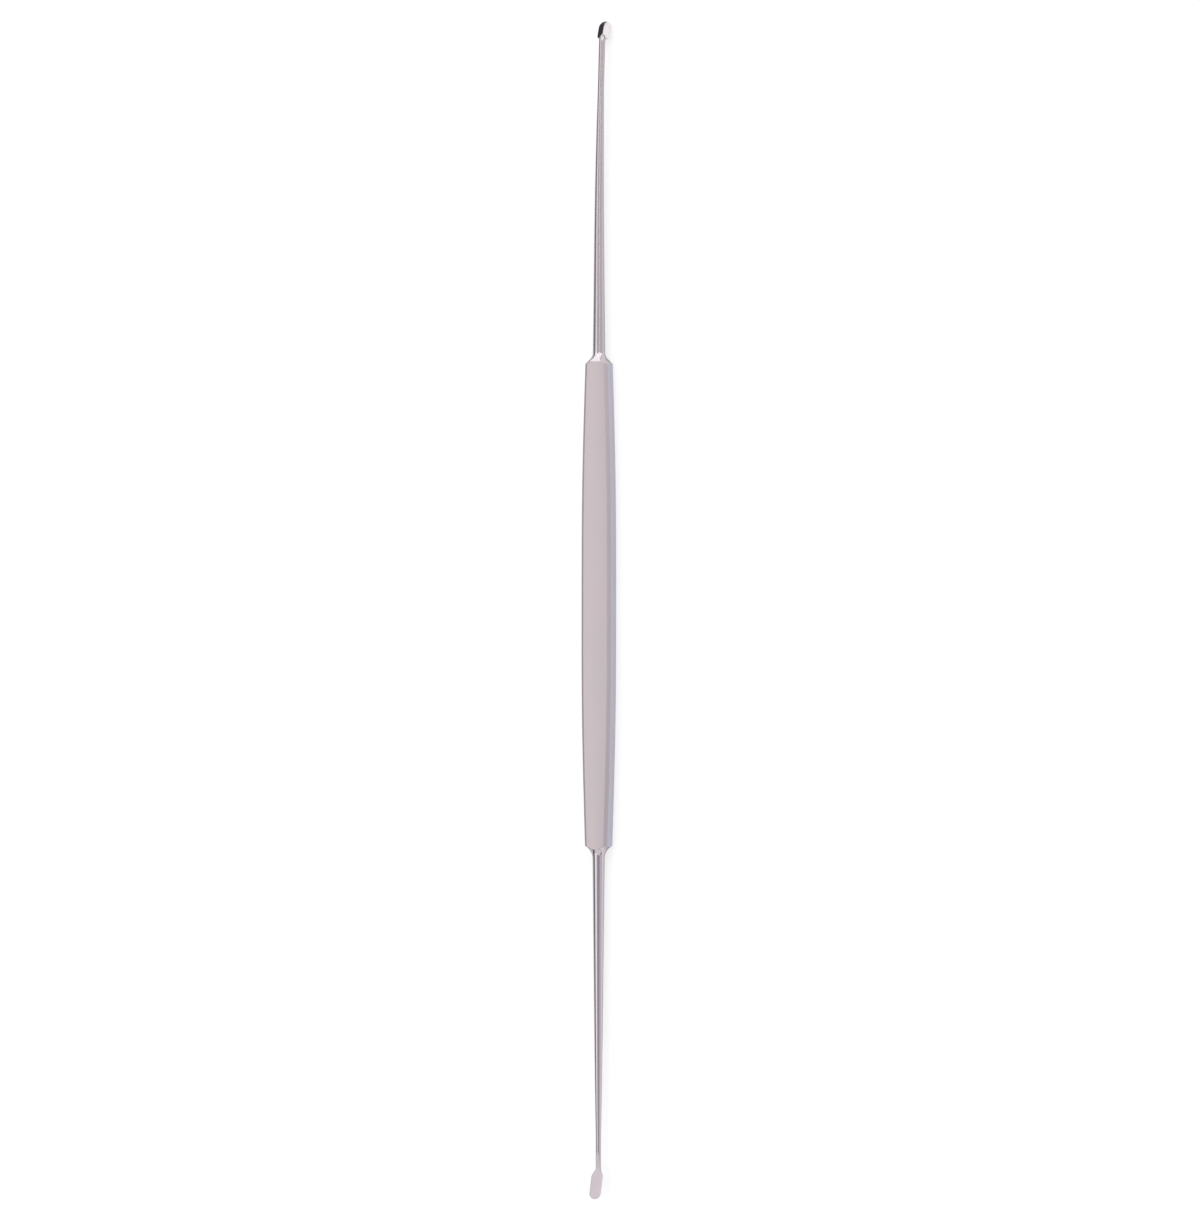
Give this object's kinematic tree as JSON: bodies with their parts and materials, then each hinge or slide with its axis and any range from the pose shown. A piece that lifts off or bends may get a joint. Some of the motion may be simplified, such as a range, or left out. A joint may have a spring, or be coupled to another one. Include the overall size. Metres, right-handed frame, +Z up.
{
  "type": "flap knife",
  "caption": "Double-ended ear surgery flap knife: flat octagonal steel handle, slender tapered shafts and small round-ended ground blades.",
  "frame": {"origin": "centre of the handle's lower broad face, midway along the handle, on the surface the knife lies on", "axes": "+Y along the knife towards the short blade, +Z up out of the handle's upper broad face, +X across the handle"},
  "size_m": [0.0052, 0.1899, 0.003],
  "materials": {
    "steel": "satin stainless steel with a fine lengthwise grain, brighter on the ground blades"
  },
  "bodies": {
    "root": {"flap_knife": "steel"}
  },
  "joints": []
}
